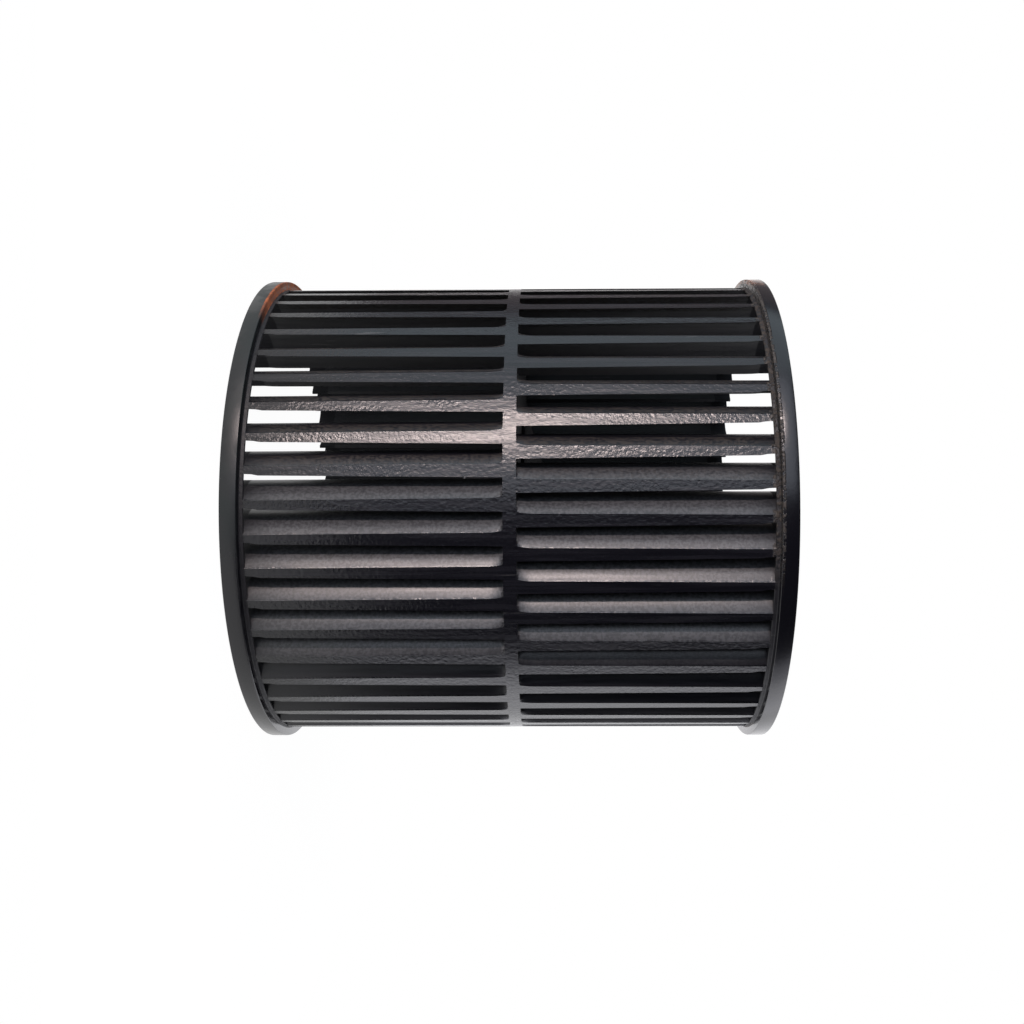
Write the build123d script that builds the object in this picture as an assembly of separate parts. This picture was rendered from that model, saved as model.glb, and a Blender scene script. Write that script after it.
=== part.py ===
from build123d import *
from math import acos, atan2, cos, degrees, radians, sin, sqrt
import os

# Double-inlet centrifugal fan wheel: two rows of forward-curved blades, one on each
# side of a centre plate, a hoop round each open end, and a metal hub moulded into the
# plate. All sizes in mm. The axis is +Z and the wheel stands on its lower hoop.

# ---- overall ----
wheel_length = 157.5      # over the two hoops
hoop_od = 150.0
hoop_step = 2.7           # the hoops stand this far proud of the blade tips

# ---- blades ----
blades_per_row = 48
blade_depth = 11.9        # from tip to inner edge, towards the axis
blade_arc_radius = 12.4   # camber arc, radial at the inner edge
blade_root = 1.72         # thickness at the centre plate
blade_end = 1.20          # thickness at the open end: mould draft
tip_overrun = 14.0        # degrees of arc past the tips, before they are turned off
lower_row_angle = -91.6   # where one blade tip of the lower row stands, degrees
row_stagger = -4.1        # the upper row is turned by this much, degrees

# ---- end hoops ----
hoop_width = 4.7
hoop_lip = 0.8            # the hoop stands this far past the blades' ends

# ---- centre plate and hub boss ----
rim_width = 3.7           # the plate, whose edge shows as a band between the rows
pad_radius = 31.0         # raised round pad in the middle of the plate
pad_height = 3.2          # from the mid-plane, both sides
cone_radius = 29.5        # cone from the pad up to the hub
cone_foot = 3.9
boss_wall = 2.6           # plastic round the hub
upper_boss = 9.0          # from the mid-plane
lower_boss = 5.0

# ---- metal hub, moulded in ----
bore_diameter = 12.0
hub_diameter = 22.0
hub_above = 10.0          # from the mid-plane
hub_below = 18.0
key_collar_flats = 27.0   # six-sided collar that locks the hub in the plastic
key_collar_height = 3.4
hub_chamfer = 0.6

# ---- set screw ----
screw_diameter = 5.0
screw_length = 5.0
screw_tip_clearance = 0.3
socket_flats = 2.5
socket_depth = 2.4
screw_angle = 90.0        # direction it points out of the hub, degrees

# ---- worked out ----
cage_r = hoop_od / 2 - hoop_step
nose_r = cage_r - blade_depth
mid = wheel_length / 2
half_rim = rim_width / 2
hub_r = hub_diameter / 2
bore_r = bore_diameter / 2
collar_corner = key_collar_flats / sqrt(3)
pitch = 360 / blades_per_row


def revolved(points):
    """A solid of revolution about Z from (radius, height) points."""
    outline = Plane.XZ * Polyline(*points, close=True)
    return revolve(make_face(outline), Axis.Z, 360)


def camber():
    """The camber arc's sweep from nose to tip, and how far the tip leads the nose."""
    # where the arc, radial at the nose, meets the circle of the blade tips
    a = nose_r * blade_arc_radius
    b = blade_arc_radius ** 2
    c = (cage_r ** 2 - nose_r ** 2) / 2 - b
    sweep = atan2(a, -b) - acos(c / sqrt(a * a + b * b))
    x = nose_r + blade_arc_radius * sin(sweep)
    y = blade_arc_radius * (1 - cos(sweep))
    return sweep, degrees(atan2(y, x))


def drafted_round(radius, draft):
    """A round bar that bounds one face of a blade. Its axis runs through the camber's
    centre at the rim and leans towards the hollow side by the draft at the open end."""
    half_sweep = camber()[0] / 2
    hollow = Vector(-sin(half_sweep), cos(half_sweep), 0)
    start = Vector(nose_r, blade_arc_radius, half_rim)
    end = start + hollow * draft + Vector(0, 0, mid - half_rim)
    return Plane(origin=start, z_dir=end - start) * Cylinder(radius, 3 * wheel_length)


def blade():
    """One blade of the upper row, its tip at angle 0, from the rim to the open end."""
    sweep, lead = camber()
    draft = blade_root - blade_end
    back = drafted_round(blade_arc_radius + blade_root / 2, draft)
    front = drafted_round(blade_arc_radius - blade_root / 2, 0)
    base = (Align.CENTER, Align.CENTER, Align.MIN)
    height = mid - hoop_lip - half_rim
    space = Pos(0, 0, half_rim) * Cylinder(cage_r, height, align=base)

    # only the arc from the nose outwards
    reach = 2 * blade_arc_radius
    past_tip = sweep + radians(tip_overrun)
    corners = [
        (0, 0),
        (0, -reach),
        (reach, -reach),
        (reach * sin(past_tip), -reach * cos(past_tip)),
    ]
    wedge = extrude(make_face(Polyline(*corners, close=True)), wheel_length)
    arc = Pos(nose_r, blade_arc_radius, 0) * wedge
    return Rot(0, 0, -lead) * ((back & space & arc) - front)


def hoop():
    """The ring round the open end of the upper row."""
    outer = hoop_od / 2
    low = mid - hoop_width
    return revolved(
        [
            (cage_r, low),
            (outer, low),
            (outer, mid),
            (cage_r, mid),
        ]
    )


def plate():
    """Centre plate with its pad, and a boss round the hub, coned on the upper side."""
    boss_r = hub_r + boss_wall
    return revolved(
        [
            (0, upper_boss),
            (boss_r, upper_boss),
            (cone_radius, cone_foot),
            (pad_radius, pad_height),
            (pad_radius, half_rim),
            (cage_r, half_rim),
            (cage_r, -half_rim),
            (pad_radius, -half_rim),
            (pad_radius, -pad_height),
            (boss_r, -pad_height),
            (boss_r, -lower_boss),
            (0, -lower_boss),
        ]
    )


def hub_blank():
    """The metal hub without its holes, as it sits in the plastic."""
    turned = revolved(
        [
            (0, hub_above),
            (hub_r - hub_chamfer, hub_above),
            (hub_r, hub_above - hub_chamfer),
            (hub_r, hub_chamfer - hub_below),
            (hub_r - hub_chamfer, -hub_below),
            (0, -hub_below),
        ]
    )
    collar = extrude(
        RegularPolygon(collar_corner, 6), key_collar_height / 2, both=True
    )
    return turned + collar


def screw_place():
    """Frame of the set screw: Z points out of the hub, half-way down its bare part."""
    height = -(lower_boss + hub_below) / 2
    direction = Vector(cos(radians(screw_angle)), sin(radians(screw_angle)), 0)
    tip = direction * (bore_r + screw_tip_clearance)
    return Plane(origin=(tip.X, tip.Y, height), z_dir=direction)


def hub():
    """Metal hub with its shaft bore and the tapped hole of the set screw."""
    base = (Align.CENTER, Align.CENTER, Align.MIN)
    shaft = Cylinder(bore_r, hub_above + hub_below, align=base)
    solid = hub_blank() - Pos(0, 0, -hub_below) * shaft
    hole = Cylinder(screw_diameter / 2, hub_diameter, align=base)
    inward = Pos(0, 0, -bore_r)
    return solid - screw_place() * inward * hole


def set_screw():
    """Flat-point socket set screw, backed off clear of the bore."""
    base = (Align.CENTER, Align.CENTER, Align.MIN)
    body = Cylinder(screw_diameter / 2, screw_length, align=base)
    socket = extrude(RegularPolygon(socket_flats / sqrt(3), 6), -socket_depth)
    return screw_place() * (body - Pos(0, 0, screw_length) * socket)


def fan_wheel():
    """The whole plastic moulding."""
    one = blade()
    solids = [plate() - hub_blank(), hoop(), mirror(hoop(), Plane.XY)]
    for number in range(blades_per_row):
        angle = lower_row_angle + number * pitch
        lower = Rot(0, 0, angle) * mirror(one, Plane.XY)
        upper = Rot(0, 0, angle + row_stagger) * one
        solids += [lower, upper]
    return solids[0].fuse(*solids[1:])


def main():
    os.makedirs("parts", exist_ok=True)
    lift = Pos(0, 0, mid)
    nodes = {
        "fan_wheel": fan_wheel(),
        "hub_bush": hub(),
        "set_screw": set_screw(),
    }
    for name, shape in nodes.items():
        export_step(lift * shape, f"parts/{name}.step")
        print(name, round(shape.volume, 1), len(shape.solids()), "solid(s)")


main()
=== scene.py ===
from math import acos, atan2, cos, degrees, pi, radians, sin, sqrt

import bpy
import bmesh
from mathutils import Matrix, Vector


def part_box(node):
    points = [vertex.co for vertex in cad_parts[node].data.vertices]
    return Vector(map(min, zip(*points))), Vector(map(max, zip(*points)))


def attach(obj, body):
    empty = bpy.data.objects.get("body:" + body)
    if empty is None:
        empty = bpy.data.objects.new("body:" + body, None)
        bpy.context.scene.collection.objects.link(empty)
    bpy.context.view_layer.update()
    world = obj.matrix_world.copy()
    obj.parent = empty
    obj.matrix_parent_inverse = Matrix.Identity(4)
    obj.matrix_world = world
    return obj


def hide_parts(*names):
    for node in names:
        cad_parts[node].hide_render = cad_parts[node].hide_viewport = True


# Looks of the double-inlet fan wheel: the plastic moulding with smooth drafted blades,
# the turned metal hub, and a white studio. Metres, in the frame of the CAD part.

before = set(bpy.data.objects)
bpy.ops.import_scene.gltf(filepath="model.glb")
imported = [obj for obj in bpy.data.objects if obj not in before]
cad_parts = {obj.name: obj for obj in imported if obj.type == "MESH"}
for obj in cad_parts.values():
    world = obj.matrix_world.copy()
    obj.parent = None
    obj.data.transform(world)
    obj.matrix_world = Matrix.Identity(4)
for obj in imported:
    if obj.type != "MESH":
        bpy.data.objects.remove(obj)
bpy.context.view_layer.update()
MM = 0.001

# ---- sizes read from the frame ----
wheel_low, wheel_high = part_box("fan_wheel")
hub_low, hub_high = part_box("hub_bush")
length = wheel_high.z - wheel_low.z
mid = length / 2
hoop_r = wheel_high.x

# ---- the moulding, as in the part's own sizes ----
cage_r = hoop_r - 2.7 * MM      # blade tips
nose_r = hoop_r - 14.6 * MM     # blades' inner edges
hoop_width = 4.7 * MM
half_rim = 1.85 * MM            # half of the plate's edge
blades_per_row = 48
arc_r = 12.4 * MM               # camber of the blades
blade_root = 1.72 * MM          # thickness at the plate
blade_end = 1.20 * MM           # thickness at the open end
tip_overrun = radians(14)       # arc past the tips, before they are turned off
lower_row_angle = radians(-91.6)
row_stagger = radians(-4.1)
pad_r, pad_height = 31.0 * MM, 3.2 * MM
cone_r, cone_foot = 29.5 * MM, 3.9 * MM
boss_r, boss_above, boss_below = 13.6 * MM, 9.0 * MM, 5.0 * MM
hub_r, bore_r = 11.0 * MM, 6.0 * MM
hub_chamfer = 0.6 * MM
screw_hole_r = 2.5 * MM

# ---- what the looks add ----
collar_width = 1.2 * MM         # collar beside the hoop, flush with the blade tips
collar_depth = 0.9 * MM
root_fillet = 0.4 * MM          # height of the fillet where the backs meet the plate
fillet_bulge = 0.8              # and how far it stands out, as a share of that
root_flare = 1.0 * MM           # how much the tips thicken towards the plate
flare_length = 4.8 * MM
flare_depth = 4.5 * MM
flare_power = 2.3
blade_sink = 0.4 * MM           # the blades' feet reach this far into the plate
tip_inset = 0.05 * MM           # and stay this far inside its edge
end_gap = 0.1 * MM              # the blades end this far short of the hoops' faces
end_notch = 0.22 * MM           # the blades' fronts thin out towards the hoop
notch_length = 4.0 * MM
blade_break = 0.12 * MM         # worn corner along the blades' edges
plate_break = 0.3 * MM          # broken edges of the pad and the boss
hoop_round = 0.35 * MM

# ---- how finely the pieces are cut ----
strip_depth = 0.1 * MM          # depth of the plane whose edge starts a blade
fillet_cuts = (0.0, 0.15, 0.4, 1.0)
flare_cuts = (0.25, 0.45, 0.7, 1.0)
blade_steps = 9                 # round the camber
wheel_steps = 192               # round the plate and the hoops
hub_steps = 128
screw_hole_steps = 48
same_place = 1e-6               # vertices closer than this are one

# ---- worked out ----
notch_high = mid - hoop_width - collar_width
notch_low = notch_high - notch_length


# ---------------------------------------------------------------- small tools


def only(obj):
    """Selects obj alone and makes it active."""
    bpy.ops.object.select_all(action="DESELECT")
    obj.select_set(True)
    bpy.context.view_layer.objects.active = obj


def edit(obj):
    """Goes into edit mode on obj with nothing selected."""
    only(obj)
    bpy.ops.object.mode_set(mode="EDIT")
    bpy.ops.mesh.select_all(action="DESELECT")


def leave():
    bpy.ops.object.mode_set(mode="OBJECT")


def pick(obj, test):
    """Selects in edit mode the vertices for which test is true."""
    bpy.ops.mesh.select_mode(type="VERT")
    mesh = bmesh.from_edit_mesh(obj.data)
    for v in mesh.verts:
        v.select_set(test(v))
    mesh.select_flush_mode()
    bmesh.update_edit_mesh(obj.data)


def settle(obj):
    """Puts the object's place into its mesh."""
    only(obj)
    bpy.ops.object.transform_apply(location=True, rotation=True, scale=True)


def merge():
    """Makes one vertex of those in the same place, in edit mode."""
    bpy.ops.mesh.select_all(action="SELECT")
    bpy.ops.mesh.remove_doubles(threshold=same_place)


def face_out():
    """Turns all faces outwards, in edit mode."""
    bpy.ops.mesh.select_all(action="SELECT")
    bpy.ops.mesh.normals_make_consistent(inside=False)


def smooth(obj, angle):
    """Shades smoothly across edges that bend by less than this angle."""
    only(obj)
    bpy.ops.object.shade_smooth_by_angle(angle=radians(angle))
    for m in list(obj.modifiers):
        bpy.ops.object.modifier_apply(modifier=m.name)


def bevelled(obj, width, segments, angle=30):
    """Rounds an object's sharp edges."""
    only(obj)
    m = obj.modifiers.new("rounding", "BEVEL")
    m.width = width
    m.segments = segments
    m.limit_method = "ANGLE"
    m.angle_limit = radians(angle)
    bpy.ops.object.modifier_apply(modifier=m.name)


def copy_turned(obj, angle, upside_down=False):
    """A copy with its own mesh, turned about the axis, or first put upside down."""
    only(obj)
    bpy.ops.object.duplicate()
    new = bpy.context.object
    if upside_down:
        new.scale.z = -1
        settle(new)
        edit(new)
        face_out()
        leave()
    new.rotation_euler.z = angle
    settle(new)
    return new


def join(pieces, name):
    """Makes one object of several."""
    bpy.ops.object.select_all(action="DESELECT")
    for p in pieces:
        p.select_set(True)
    bpy.context.view_layer.objects.active = pieces[0]
    bpy.ops.object.join()
    pieces[0].name = name
    pieces[0].data.name = name
    return pieces[0]


def turned(outline, steps, name):
    """A turned piece from (radius, height) corners: a ring of the first corner,
    extruded from corner to corner and closed."""
    first = outline[0]
    bpy.ops.mesh.primitive_circle_add(
        vertices=steps, radius=first[0], location=(0, 0, first[1])
    )
    obj = bpy.context.object
    obj.name = name
    settle(obj)
    edit(obj)
    bpy.ops.mesh.select_all(action="SELECT")
    radius, height = first
    for r, z in outline[1:] + [first]:
        bpy.ops.mesh.extrude_edges_move(
            TRANSFORM_OT_translate={"value": (0, 0, z - height)}
        )
        bpy.ops.transform.resize(value=(r / radius, r / radius, 1))
        radius, height = r, z
    merge()
    face_out()
    leave()
    return obj


# ---------------------------------------------------------------- blades


def camber():
    """The camber arc's sweep from nose to tip, and how far the tip leads the nose."""
    a = nose_r * arc_r
    b = arc_r ** 2
    c = (cage_r ** 2 - nose_r ** 2) / 2 - b
    sweep = atan2(a, -b) - acos(c / sqrt(a * a + b * b))
    lead = atan2(arc_r * (1 - cos(sweep)), nose_r + arc_r * sin(sweep))
    return sweep, lead


def blade_levels():
    """The heights at which a blade is cut, from inside the plate to the open end."""
    levels = [half_rim - blade_sink]
    levels += [half_rim + root_fillet * share for share in fillet_cuts]
    levels += [half_rim + flare_length * share for share in flare_cuts]
    levels += [(half_rim + notch_low) / 2, notch_low]
    levels += [notch_low + notch_length / 2, notch_high, mid - end_gap]
    return levels


def blade_strip():
    """An upright strip as thick as the blade, with its back towards -X. It is left in
    edit mode."""
    levels = blade_levels()
    bpy.ops.mesh.primitive_plane_add(size=1.0, location=(0, 0, 0))
    obj = bpy.context.object
    obj.name = "blade"
    obj.scale = (blade_root, strip_depth, 1)
    settle(obj)
    edit(obj)
    # one edge of the plane is kept as the foot of the strip
    pick(obj, lambda v: v.co.y > 0)
    bpy.ops.mesh.delete(type="VERT")
    pick(obj, lambda v: True)
    bpy.ops.transform.translate(value=(0, strip_depth / 2, levels[0]))
    for low, high in zip(levels, levels[1:]):
        bpy.ops.mesh.extrude_region_move(
            TRANSFORM_OT_translate={"value": (0, 0, high - low)}
        )
    # the back gets the root fillet, the front the end notch, and both the draft
    mesh = bmesh.from_edit_mesh(obj.data)
    for v in mesh.verts:
        above = max(0, v.co.z - half_rim)
        drafted = blade_root + (blade_end - blade_root) * above / (mid - half_rim)
        if v.co.x < 0:
            rise = max(0, 1 - above / root_fillet)
            fillet = root_fillet * (1 - sqrt(1 - rise * rise)) * fillet_bulge
            v.co.x = -drafted / 2 - fillet
        else:
            notch = min(1, max(0, v.co.z - notch_low) / notch_length)
            v.co.x = drafted / 2 - end_notch * notch * notch
    bmesh.update_edit_mesh(obj.data)
    return obj


def flare_backs(mesh, arc_centre):
    """Thickens a blade's back near its tip, more and more towards the plate."""
    for v in mesh.verts:
        out = v.co.xy - arc_centre
        if out.length > arc_r:
            depth_share = max(0, 1 - (cage_r - v.co.xy.length) / flare_depth)
            height_share = min(1, max(0, 1 - (v.co.z - half_rim) / flare_length))
            flare = root_flare * depth_share * height_share ** flare_power
            v.co.xy += out.normalized() * flare


def blade():
    """One blade of the upper row with its tip at angle 0, seated at its own height."""
    sweep, lead = camber()
    obj = blade_strip()
    # the strip is set up at the nose, its back towards -Y, and swept round the camber
    bpy.ops.mesh.select_all(action="SELECT")
    bpy.ops.transform.rotate(
        value=-pi / 2, orient_axis="Z", center_override=(0, 0, 0)
    )
    bpy.ops.transform.translate(value=(nose_r, 0, 0))
    bpy.ops.mesh.spin(
        steps=blade_steps,
        angle=-(sweep + tip_overrun),
        center=(nose_r, arc_r, 0),
        axis=(0, 0, 1),
    )
    merge()
    face_out()
    leave()
    # turned so that the tip stands at angle 0, and cut off there
    obj.rotation_euler.z = -lead
    settle(obj)
    edit(obj)
    bpy.ops.mesh.select_all(action="SELECT")
    bpy.ops.mesh.bisect(
        plane_co=(cage_r, 0, 0), plane_no=(1, 0, 0), clear_outer=True, use_fill=True
    )
    mesh = bmesh.from_edit_mesh(obj.data)
    at_tip = [v for v in mesh.verts if v.co.x > cage_r - same_place]
    flare_backs(mesh, Matrix.Rotation(-lead, 2) @ Vector((nose_r, arc_r)))
    # the tip face is put on the round of the cage, and its foot just inside the plate
    for v in at_tip:
        foot = v.co.z < half_rim - blade_sink / 2
        radius = cage_r - (tip_inset if foot else 0)
        v.co.xy = v.co.xy.normalized() * radius
    bmesh.update_edit_mesh(obj.data)
    face_out()
    leave()
    return obj


# ---------------------------------------------------------------- the moulding


def hoop():
    """The upper hoop with its collar, whose face is flush with the blade tips."""
    low = mid - hoop_width
    inner = cage_r - collar_depth
    obj = turned(
        [
            (inner, low - collar_width),
            (cage_r, low - collar_width),
            (cage_r, low),
            (hoop_r, low),
            (hoop_r, mid),
            (inner, mid),
        ],
        wheel_steps,
        "hoop",
    )
    bevelled(obj, hoop_round, segments=3)
    return obj


def plate():
    """Centre plate with its pad, and the boss round the hub, coned on the upper
    side."""
    soft = plate_break
    return turned(
        [
            (hub_r, boss_above),
            (boss_r - soft, boss_above),
            (boss_r, boss_above - soft),
            (cone_r, cone_foot),
            (pad_r, pad_height),
            (pad_r + soft, pad_height - soft),
            (pad_r + soft, half_rim),
            (cage_r, half_rim),
            (cage_r, -half_rim),
            (pad_r + soft, -half_rim),
            (pad_r + soft, soft - pad_height),
            (pad_r, -pad_height),
            (boss_r, -pad_height),
            (boss_r, soft - boss_below),
            (boss_r - soft, -boss_below),
            (hub_r, -boss_below),
        ],
        wheel_steps,
        "plate",
    )


def moulding():
    """The whole plastic wheel in one piece."""
    one = blade()
    bevelled(one, blade_break, segments=1, angle=50)
    pieces = [plate(), hoop()]
    pieces.append(copy_turned(pieces[1], 0, upside_down=True))
    for number in range(blades_per_row):
        angle = lower_row_angle + number * 2 * pi / blades_per_row
        pieces.append(copy_turned(one, angle, upside_down=True))
        pieces.append(copy_turned(one, angle + row_stagger))
    bpy.data.objects.remove(one)
    wheel = join(pieces, "wheel_moulding")
    wheel.location.z = mid
    settle(wheel)
    smooth(wheel, 20)
    return wheel


# ---------------------------------------------------------------- the metal hub


def hub():
    """The turned metal hub, with the hole of its set screw drilled across."""
    low, high = hub_low.z, hub_high.z
    obj = turned(
        [
            (bore_r + hub_chamfer, high),
            (hub_r - hub_chamfer, high),
            (hub_r, high - hub_chamfer),
            (hub_r, low + hub_chamfer),
            (hub_r - hub_chamfer, low),
            (bore_r + hub_chamfer, low),
            (bore_r, low + hub_chamfer),
            (bore_r, high - hub_chamfer),
        ],
        hub_steps,
        "hub",
    )
    screw_low, screw_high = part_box("set_screw")
    bpy.ops.object.select_all(action="DESELECT")
    # the drill starts inside the bore and comes out of the hub's side
    bpy.ops.mesh.primitive_cylinder_add(
        vertices=screw_hole_steps,
        radius=screw_hole_r,
        depth=hub_r,
        location=(0, bore_r + hub_r / 2 - 1 * MM, (screw_low.z + screw_high.z) / 2),
        rotation=(pi / 2, 0, 0),
    )
    drill = bpy.context.object
    only(obj)
    cut = obj.modifiers.new("screw_hole", "BOOLEAN")
    cut.object = drill
    cut.operation = "DIFFERENCE"
    bpy.ops.object.modifier_apply(modifier=cut.name)
    bpy.data.objects.remove(drill)
    smooth(obj, 30)
    return obj


wheel = moulding()
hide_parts("fan_wheel")
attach(wheel, "root")
metal_hub = hub()
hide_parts("hub_bush")
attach(metal_hub, "root")

# ---------------------------------------------------------------- node tools


def give(tree, value, socket):
    """Puts a plain number or colour onto a socket, or links an output to it."""
    if isinstance(value, (int, float, tuple)):
        socket.default_value = value
    else:
        tree.links.new(value, socket)


def maths(tree, kind, first, second=None, clamp=False):
    """A Math node."""
    node = tree.nodes.new("ShaderNodeMath")
    node.operation = kind
    node.use_clamp = clamp
    for socket, value in zip(node.inputs, (first, second)):
        if value is not None:
            give(tree, value, socket)
    return node.outputs[0]


def times(tree, first, *others):
    """Masks multiplied with each other."""
    for other in others:
        first = maths(tree, "MULTIPLY", first, other)
    return first


def total(tree, first, *others):
    """Masks added up."""
    for other in others:
        first = maths(tree, "ADD", first, other)
    return first


def less(tree, first, second):
    """The first without the second."""
    return maths(tree, "SUBTRACT", first, second)


def ramp(tree, value, low, high):
    """0 below low, 1 above high, smooth between."""
    node = tree.nodes.new("ShaderNodeMapRange")
    node.interpolation_type = "SMOOTHSTEP"
    give(tree, value, node.inputs["Value"])
    give(tree, low, node.inputs["From Min"])
    give(tree, high, node.inputs["From Max"])
    return node.outputs["Result"]


def noise(tree, place, scale, detail, stretch=(1, 1, 1)):
    """Soft noise at a place, drawn out along an axis whose stretch is small."""
    mapping = tree.nodes.new("ShaderNodeMapping")
    mapping.inputs["Scale"].default_value = stretch
    tree.links.new(place, mapping.inputs["Vector"])
    node = tree.nodes.new("ShaderNodeTexNoise")
    tree.links.new(mapping.outputs[0], node.inputs["Vector"])
    node.inputs["Detail"].default_value = detail
    give(tree, scale, node.inputs["Scale"])
    return node.outputs["Fac"]


# ---------------------------------------------------------------- effects


def effect(name, numbers, outputs):
    """An empty node group with number inputs, which reads Object coordinates."""
    group = bpy.data.node_groups.new(name, "ShaderNodeTree")
    for label, value in numbers.items():
        socket = group.interface.new_socket(
            name=label, in_out="INPUT", socket_type="NodeSocketFloat"
        )
        socket.default_value = value
    for label in outputs:
        group.interface.new_socket(
            name=label, in_out="OUTPUT", socket_type="NodeSocketFloat"
        )
    given = group.nodes.new("NodeGroupInput").outputs
    results = group.nodes.new("NodeGroupOutput").inputs
    place = group.nodes.new("ShaderNodeTexCoord").outputs["Object"]
    return group, given, results, place


def moulded_grain():
    """The leather-like grain of the mould, as a height."""
    group, given, results, place = effect(
        "moulded_grain", {"Scale": 1100.0, "Fineness": 0.4}, ["Height"]
    )
    cells = group.nodes.new("ShaderNodeTexVoronoi")
    cells.feature = "SMOOTH_F1"
    group.links.new(place, cells.inputs["Vector"])
    group.links.new(given["Scale"], cells.inputs["Scale"])
    fine = noise(group, place, times(group, given["Scale"], 2.2), 2.0)
    fine = times(group, fine, given["Fineness"])
    group.links.new(total(group, cells.outputs["Distance"], fine), results["Height"])
    return group


def drawn_streaks():
    """Fine scuffs along the axis, 0 to 1, and rarer long scratches."""
    group, given, results, place = effect(
        "drawn_streaks", {"Scale": 900.0}, ["Streaks", "Scratches"]
    )
    scuffs = noise(group, place, given["Scale"], 3.0, (1, 1, 0.04))
    group.links.new(ramp(group, scuffs, 0.35, 0.7), results["Streaks"])
    wider = times(group, given["Scale"], 0.8)
    rare = noise(group, place, wider, 2.0, (1, 1, 0.09))
    group.links.new(ramp(group, rare, 0.70, 0.76), results["Scratches"])
    return group


def round_place():
    """Where a point stands on the wheel: its radius, its height, and its angle in
    degrees from the front towards -X."""
    group, _, results, place = effect(
        "round_place", {}, ["Radius", "Height", "Angle"]
    )
    parts = group.nodes.new("ShaderNodeSeparateXYZ")
    group.links.new(place, parts.inputs[0])
    x, y, z = parts.outputs
    square = total(group, times(group, x, x), times(group, y, y))
    group.links.new(maths(group, "SQRT", square), results["Radius"])
    group.links.new(z, results["Height"])
    angle = maths(group, "ARCTAN2", times(group, x, -1), times(group, y, -1))
    group.links.new(times(group, angle, degrees(1)), results["Angle"])
    return group


def patchy_mask():
    """A patchy mask over a stretch of angle and height on the wheel, 0 to 1, for stains
    and painted light alike.
    """
    numbers = {
        "Radius": 0.0,
        "Height": 0.0,
        "Angle": 0.0,
        "Least Radius": 0.0,
        "Middle Height": 0.0,
        "Height Reach": 0.01,
        "Middle Angle": 0.0,
        "Angle Reach": 30.0,
        "Patch Scale": 400.0,
        "Patchiness": 0.5,
    }
    group, given, results, place = effect("patchy_mask", numbers, ["Stain"])

    def within(what, edge):
        """1 near the stain's middle, fading out from edge, a share of its reach."""
        away = less(group, given[what], given["Middle " + what])
        away = maths(group, "ABSOLUTE", away)
        away = maths(group, "DIVIDE", away, given[what + " Reach"])
        return ramp(group, away, 1.0, edge)

    outer = maths(group, "GREATER_THAN", given["Radius"], given["Least Radius"])
    patches = ramp(group, noise(group, place, given["Patch Scale"], 5.0), 0.42, 0.58)
    bare = times(group, less(group, 1.0, patches), given["Patchiness"])
    share = times(group, within("Angle", 0.7), within("Height", 0.8), outer)
    share = times(group, share, less(group, 1.0, bare))
    group.links.new(share, results["Stain"])
    return group


grain_effect = moulded_grain()
streak_effect = drawn_streaks()
place_effect = round_place()
patchy_mask_effect = patchy_mask()

# ---------------------------------------------------------------- colours

plastic_black = (0.0045, 0.0045, 0.007, 1)
plastic_scuffed = (0.0085, 0.0085, 0.012, 1)
plastic_scratched = (0.035, 0.035, 0.037, 1)
back_brown = (0.022, 0.018, 0.016, 1)
# grey dust on the blades' backs, which also paints the sheen where they catch the light
back_dust_and_sheen = (0.064, 0.066, 0.071, 1)
# painted shade for the lower hoop
hoop_shade_black = (0.003, 0.007, 0.008, 1)
corner_dust = (0.040, 0.033, 0.028, 1)
# painted orange reflections: the first on the lower hoop's inner side, the second on
# the upper hoop
side_reflection_orange = (0.42, 0.13, 0.055, 1)
end_reflection_orange = (0.20, 0.075, 0.033, 1)
foot_rust = (0.060, 0.038, 0.030, 1)
aluminium = (0.72, 0.72, 0.73, 1)
aluminium_marked = (0.55, 0.55, 0.56, 1)
oxide_black = (0.035, 0.035, 0.038, 1)

# ---- how dull and how rough the finishes are ----
plastic_roughness = 0.23
scuff_roughness = 0.08          # added where the streaks are
dirt_roughness = 0.3            # added for each full share of dirt
front_wear = 1.7                # share of dirt on the blades' fronts and inner edges
back_wear = 0.35                # and on their backs
flat_share = 0.85               # how far the grain is flattened on sides and hoops
dust_height = 3.0               # of the dust against the grain
grain_depth = 0.08 * MM
hub_roughness = 0.42
hub_scuff_roughness = 0.12

# ---------------------------------------------------------------- materials


def principled(name):
    """A material with its Principled shader, ready for nodes."""
    material = bpy.data.materials.new(name)
    material.use_nodes = True
    return material, material.node_tree, material.node_tree.nodes["Principled BSDF"]


def use(tree, group, **numbers):
    """Places an effect in a material with its own numbers."""
    node = tree.nodes.new("ShaderNodeGroup")
    node.node_tree = group
    for label, value in numbers.items():
        node.inputs[label.replace("_", " ")].default_value = value
    return node


def tint(tree, share, below, above):
    """Mixes colours: above where share is 1."""
    node = tree.nodes.new("ShaderNodeMix")
    node.data_type = "RGBA"
    sockets = [i for i in node.inputs if i.enabled]
    for value, socket in zip((share, below, above), sockets):
        give(tree, value, socket)
    return [o for o in node.outputs if o.enabled][0]


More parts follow.
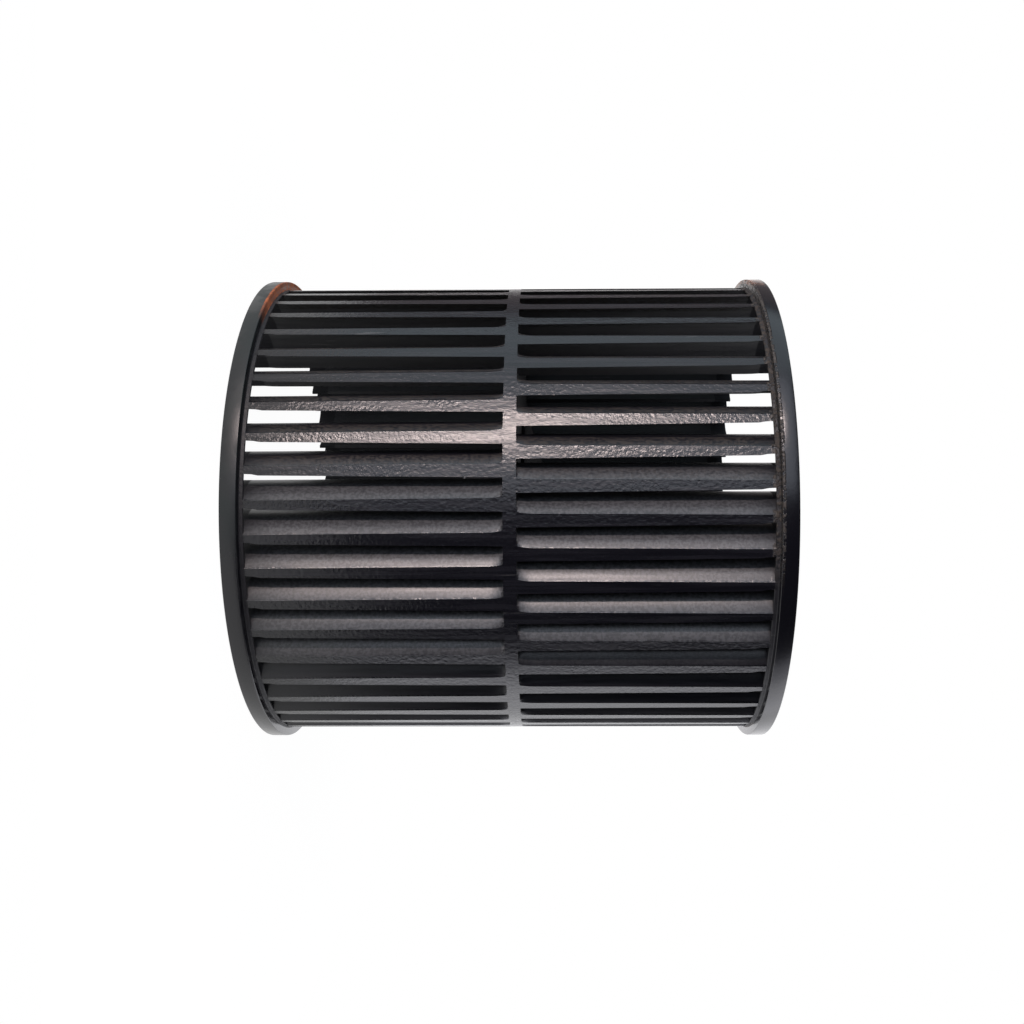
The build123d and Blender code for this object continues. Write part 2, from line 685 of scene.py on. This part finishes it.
def dirt_and_painted_light_on_wheel(tree, where):
    """The stains of the plastic, with the painted shade, sheen and reflections, by
    name, as masks.
    """
    upper_corner = length - hoop_width - 0.6 * MM
    lower_corner = hoop_width + 0.6 * MM

    def patched(**numbers):
        node = use(tree, patchy_mask_effect, **numbers)
        for label in ("Radius", "Height", "Angle"):
            tree.links.new(where[label], node.inputs[label])
        return node.outputs["Stain"]

    return {
        # in the corner under the upper hoop
        "dust": patched(
            Least_Radius=cage_r - 1.0 * MM,
            Middle_Height=upper_corner,
            Height_Reach=1.6 * MM,
            Middle_Angle=38.0,
            Angle_Reach=58.0,
            Patch_Scale=850.0,
            Patchiness=0.92,
        ),
        # a painted orange reflection on the inner side of the lower hoop
        "lower_hoop_reflection": patched(
            Least_Radius=cage_r + 0.1 * MM,
            Middle_Height=lower_corner - 0.5 * MM,
            Height_Reach=0.9 * MM,
            Middle_Angle=84.0,
            Angle_Reach=36.0,
            Patch_Scale=350.0,
            Patchiness=0.45,
        ),
        # two spots on the upper hoop: a painted orange reflection, and a brown spot
        "upper_hoop_reflection": patched(
            Least_Radius=cage_r + 1.5 * MM,
            Middle_Height=length - 3.5 * MM,
            Height_Reach=3.0 * MM,
            Middle_Angle=82.0,
            Angle_Reach=16.0,
            Patch_Scale=300.0,
            Patchiness=0.8,
        ),
        "foot_spot": patched(
            Least_Radius=cage_r,
            Middle_Height=length - 3.0 * MM,
            Height_Reach=4.0 * MM,
            Middle_Angle=-82.0,
            Angle_Reach=16.0,
            Patch_Scale=300.0,
            Patchiness=0.6,
        ),
        # painted shade on the lower hoop, a darker and duller patchy coat
        "hoop_shade": patched(
            Least_Radius=cage_r + 1.5 * MM,
            Middle_Height=2.0 * MM,
            Height_Reach=5.0 * MM,
            Middle_Angle=45.0,
            Angle_Reach=60.0,
            Patch_Scale=150.0,
            Patchiness=0.5,
        ),
        # brown dirt between the blades, and grey dust which also paints the sheen where
        # the blades' backs catch the light
        "brown": patched(
            Least_Radius=cage_r - 3.0 * MM,
            Middle_Height=mid,
            Height_Reach=mid,
            Middle_Angle=40.0,
            Angle_Reach=40.0,
            Patch_Scale=1100.0,
            Patchiness=0.9,
        ),
        "dust_and_sheen": patched(
            Least_Radius=nose_r,
            Middle_Height=mid,
            Height_Reach=mid,
            Middle_Angle=-13.0,
            Angle_Reach=27.0,
            Patch_Scale=1200.0,
            Patchiness=0.5,
        ),
    }


def backs_of_blades(tree):
    """1 on the blades' backs, which face backwards round the axis: there the place
    across the normal points down the axis."""
    across = tree.nodes.new("ShaderNodeVectorMath")
    across.operation = "CROSS_PRODUCT"
    coordinates = tree.nodes.new("ShaderNodeTexCoord")
    tree.links.new(coordinates.outputs["Object"], across.inputs[0])
    tree.links.new(coordinates.outputs["Normal"], across.inputs[1])
    parts = tree.nodes.new("ShaderNodeSeparateXYZ")
    tree.links.new(across.outputs[0], parts.inputs[0])
    return ramp(tree, parts.outputs["Z"], -20.0 * MM, -35.0 * MM)


def black_plastic():
    """Black moulded plastic with grain, scuffs along the blades, old dirt, and painted
    shade, sheen and reflections.
    """
    material, tree, shader = principled("black_plastic")
    where = use(tree, place_effect).outputs
    marks = use(tree, streak_effect, Scale=900.0).outputs
    grain = use(tree, grain_effect, Scale=1050.0, Fineness=0.8).outputs["Height"]
    dirt_and_painted_light = dirt_and_painted_light_on_wheel(tree, where)

    # where the pieces of the moulding are
    hoops = maths(tree, "GREATER_THAN", where["Radius"], cage_r + 0.3 * MM)
    blades = less(tree, 1.0, hoops)
    inside = maths(tree, "LESS_THAN", where["Radius"], cage_r - 0.25 * MM)
    backs = backs_of_blades(tree)
    from_middle = maths(tree, "ABSOLUTE", less(tree, where["Height"], mid))
    collars = maths(tree, "GREATER_THAN", from_middle, mid - hoop_width - collar_width)
    collars = times(tree, collars, blades)

    # the hoops are free of scuffs, the outer faces of the brown dirt between the
    # blades, and all but the blades' backs of the grey dust and its painted sheen
    streaks = times(tree, marks["Streaks"], blades)
    scratches = times(tree, marks["Scratches"], blades)
    brown = times(tree, dirt_and_painted_light["brown"], inside)
    dust_and_sheen = times(tree, dirt_and_painted_light["dust_and_sheen"], backs)

    colour = tint(tree, streaks, plastic_black, plastic_scuffed)
    for share, layer in (
        (scratches, plastic_scratched),
        (brown, back_brown),
        # grey dust with painted sheen on the blades' backs
        (dust_and_sheen, back_dust_and_sheen),
        # painted shade on the lower hoop
        (dirt_and_painted_light["hoop_shade"], hoop_shade_black),
        (dirt_and_painted_light["dust"], corner_dust),
        # painted orange reflections on the hoops, on this line and the next
        (dirt_and_painted_light["lower_hoop_reflection"], side_reflection_orange),
        (dirt_and_painted_light["upper_hoop_reflection"], end_reflection_orange),
        (dirt_and_painted_light["foot_spot"], foot_rust),
    ):
        colour = tint(tree, share, colour, layer)
    tree.links.new(colour, shader.inputs["Base Color"])

    # the fronts and the inner edges, which the air wears and soils, are duller than
    # the backs
    wear = less(tree, front_wear, times(tree, backs, front_wear - back_wear))
    dull = total(tree, dirt_and_painted_light["dust"], collars, dirt_and_painted_light["lower_hoop_reflection"], dirt_and_painted_light["lower_hoop_reflection"], brown)
    dull = total(tree, dull, dirt_and_painted_light["hoop_shade"], times(tree, inside, wear))
    rough = total(tree, plastic_roughness, times(tree, streaks, scuff_roughness))
    dull = times(tree, dull, dirt_roughness)
    rough = maths(tree, "ADD", rough, dull, clamp=True)
    tree.links.new(rough, shader.inputs["Roughness"])
    shader.inputs["IOR"].default_value = 1.5

    # the grain is on the outer faces; the blades' sides and the hoops are nearly smooth
    plain = maths(tree, "ADD", inside, hoops, clamp=True)
    height = times(tree, grain, less(tree, 1.0, times(tree, plain, flat_share)))
    height = total(tree, height, times(tree, dirt_and_painted_light["dust"], dust_height))
    bump = tree.nodes.new("ShaderNodeBump")
    bump.inputs["Strength"].default_value = 1.0
    bump.inputs["Distance"].default_value = grain_depth
    tree.links.new(height, bump.inputs["Height"])
    tree.links.new(bump.outputs[0], shader.inputs["Normal"])
    return material


def turned_aluminium():
    """Bare turned aluminium with faint scuffs along the axis."""
    material, tree, shader = principled("turned_aluminium")
    marks = use(tree, streak_effect, Scale=1400.0).outputs
    shader.inputs["Metallic"].default_value = 1.0
    colour = tint(tree, marks["Scratches"], aluminium, aluminium_marked)
    tree.links.new(colour, shader.inputs["Base Color"])
    scuffs = times(tree, marks["Streaks"], hub_scuff_roughness)
    rough = total(tree, hub_roughness, scuffs)
    tree.links.new(rough, shader.inputs["Roughness"])
    return material


def black_oxide():
    """Blackened steel of the set screw."""
    material, _, shader = principled("black_oxide")
    shader.inputs["Base Color"].default_value = oxide_black
    shader.inputs["Metallic"].default_value = 0.7
    shader.inputs["Roughness"].default_value = 0.42
    return material


for piece, finish in (
    (wheel, black_plastic()),
    (metal_hub, turned_aluminium()),
    (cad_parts["set_screw"], black_oxide()),
):
    piece.data.materials.clear()
    piece.data.materials.append(finish)

# ---------------------------------------------------------------- studio

floor_side = 0.36
floor_drop = 0.2 * MM           # the floor lies just under the lower hoop
floor_strength = 1.08           # white to the camera, with a little to spare
floor_shadow = 0.1              # share of real shade that the camera sees
floor_glow = 0.35               # light of its own that the floor gives the wheel
room_strength = 0.08

boards_r = 1.5
boards_foot, boards_top = -1.2, 1.7
boards_start, boards_end = -93, 150     # degrees from the front towards -X
boards_steps = 72


def sees_white(tree):
    """1 for camera, glossy and transmission rays: they meet the white background."""
    path = tree.nodes.new("ShaderNodeLightPath").outputs
    mirrored = maths(
        tree, "MAXIMUM", path["Is Glossy Ray"], path["Is Transmission Ray"]
    )
    return maths(tree, "MAXIMUM", path["Is Camera Ray"], mirrored)


def mix_shaders(tree, share, below, above, output):
    """Ends a tree with a mix of two shaders: above where share is 1."""
    mix = tree.nodes.new("ShaderNodeMixShader")
    tree.links.new(share, mix.inputs[0])
    tree.links.new(below.outputs[0], mix.inputs[1])
    tree.links.new(above.outputs[0], mix.inputs[2])
    tree.links.new(mix.outputs[0], tree.nodes.new(output).inputs["Surface"])


def floor_white():
    """White to the camera with a share of real shade, and a little light of its own."""
    material = bpy.data.materials.new("floor_white")
    material.use_nodes = True
    tree = material.node_tree
    tree.nodes.clear()
    white = tree.nodes.new("ShaderNodeEmission")
    white.inputs["Color"].default_value = (1, 1, 1, 1)
    white.inputs["Strength"].default_value = floor_strength
    matt = tree.nodes.new("ShaderNodeBsdfDiffuse")
    matt.inputs["Color"].default_value = (0.9, 0.9, 0.9, 1)
    share = tree.nodes.new("ShaderNodeMath")
    share.operation = "MULTIPLY_ADD"
    share.inputs[1].default_value = 1 - floor_shadow - floor_glow
    share.inputs[2].default_value = floor_glow
    tree.links.new(sees_white(tree), share.inputs[0])
    mix_shaders(tree, share.outputs[0], matt, white, "ShaderNodeOutputMaterial")
    return material


def light_studio_world():
    """White behind the wheel, and a faint cool light from the room."""
    world = bpy.data.worlds.new("studio")
    bpy.context.scene.world = world
    world.use_nodes = True
    tree = world.node_tree
    tree.nodes.clear()
    white = tree.nodes.new("ShaderNodeBackground")
    white.inputs["Color"].default_value = (1, 1, 1, 1)
    room = tree.nodes.new("ShaderNodeBackground")
    room.inputs["Color"].default_value = (0.82, 0.88, 1.0, 1)
    room.inputs["Strength"].default_value = room_strength
    mix_shaders(tree, sees_white(tree), room, white, "ShaderNodeOutputWorld")


def board_black():
    """Matt black of the boards."""
    material, _, shader = principled("board_black")
    shader.inputs["Base Color"].default_value = (0.02, 0.021, 0.024, 1)
    shader.inputs["Roughness"].default_value = 0.95
    return material


def past_boards(v):
    """Whether a vertex of the ring stands in the gap that the boards leave open."""
    angle = degrees(atan2(-v.co.x, -v.co.y))
    return not boards_start < angle < boards_end


def dark_boards():
    """Boards round the front and a lid over them, with the white left open behind the
    wheel, so that the black plastic mirrors a dark room. The camera sees through."""
    bpy.ops.object.select_all(action="DESELECT")
    bpy.ops.mesh.primitive_circle_add(
        vertices=boards_steps, radius=boards_r, location=(0, 0, boards_foot)
    )
    walls = bpy.context.object
    settle(walls)
    edit(walls)
    pick(walls, past_boards)
    bpy.ops.mesh.delete(type="VERT")
    bpy.ops.mesh.select_all(action="SELECT")
    bpy.ops.mesh.extrude_edges_move(
        TRANSFORM_OT_translate={"value": (0, 0, boards_top - boards_foot)}
    )
    leave()
    bpy.ops.object.select_all(action="DESELECT")
    bpy.ops.mesh.primitive_circle_add(
        vertices=boards_steps,
        radius=boards_r,
        fill_type="NGON",
        location=(0, 0, boards_top),
    )
    obj = join([walls, bpy.context.object], "dark_boards")
    obj.data.materials.append(board_black())
    obj.visible_camera = False
    return obj


def round_axis(angle, distance, height=0.0):
    """A place round the wheel's axis, at this angle from the front towards -X."""
    a = radians(angle)
    return Vector((-distance * sin(a), -distance * cos(a), mid + height))


def softbox(name, place, across, along, brightness, colour=(1, 1, 1)):
    """A soft light that faces the middle of the wheel, its long side along the axis."""
    light = bpy.data.lights.new(name, "AREA")
    light.shape = "RECTANGLE"
    light.size, light.size_y = across, along
    light.energy = brightness * pi * across * along
    light.color = colour
    obj = bpy.data.objects.new(name, light)
    bpy.context.scene.collection.objects.link(obj)
    back = (place - Vector((0, 0, mid))).normalized()
    side = Vector((0, 0, 1)).cross(back).normalized()
    axes = Matrix((side, back.cross(side), back)).transposed()
    obj.matrix_world = Matrix.Translation(place) @ axes.to_4x4()
    obj.visible_camera = False


bpy.ops.object.select_all(action="DESELECT")
bpy.ops.mesh.primitive_plane_add(size=floor_side, location=(0, 0, -floor_drop))
floor = bpy.context.object
floor.name = "floor"
settle(floor)
floor.data.materials.append(floor_white())

light_studio_world()

boards = dark_boards()

# place, size across and along the axis, brightness, colour
softbox("key", round_axis(38, 0.9, -0.045), 0.07, 0.28, 92, (1.0, 0.82, 0.77))
softbox("window", round_axis(35, 1.3), 1.35, 1.3, 1.9, (0.80, 0.87, 1.0))
softbox("overhead", round_axis(86, 1.1), 0.85, 1.6, 1.2, (0.78, 0.92, 1.0))
softbox("behind", round_axis(-96, 1.0), 0.72, 1.6, 1.3, (0.90, 0.90, 1.0))
softbox("behind_low", round_axis(-141, 1.0), 0.9, 1.6, 0.42, (0.90, 0.90, 1.0))
softbox("behind_top", round_axis(142, 1.2), 1.25, 1.6, 0.2, (1.0, 0.86, 0.86))
# over the floor, which lights the open lower end; a hair off the axis, where a softbox
# would have no side
softbox("ceiling", Vector((0.0, 0.001, 1.5)), 1.6, 1.6, 0.5)

# ---------------------------------------------------------------- camera

yaw, roll = 0.0104, -0.0033
camera_back, camera_right, camera_down = 378.634 * MM, -8.805 * MM, 5.694 * MM
camera = bpy.data.objects.new("camera", bpy.data.cameras.new("camera"))
bpy.context.scene.collection.objects.link(camera)
bpy.context.scene.camera = camera
camera.data.sensor_width = 36
camera.data.lens = 39.5
camera.data.shift_x, camera.data.shift_y = -0.0314, -0.0212
camera.data.clip_start = 0.01
# the wheel's own axes as this camera sees them: right is +Z, down is +X, away is +Y
seen_axes = Matrix(((0, 0, 1), (1, 0, 0), (0, 1, 0)))
rows = Matrix.Rotation(roll, 3, "Z") @ Matrix.Rotation(yaw, 3, "Y") @ seen_axes
eye = rows.transposed() @ -Vector((camera_right, camera_down, camera_back))
basis = Matrix((rows[0], -rows[1], -rows[2])).transposed()
camera.matrix_world = Matrix.Translation(eye + Vector((0, 0, mid))) @ basis.to_4x4()

bpy.context.scene.view_settings.view_transform = "Standard"
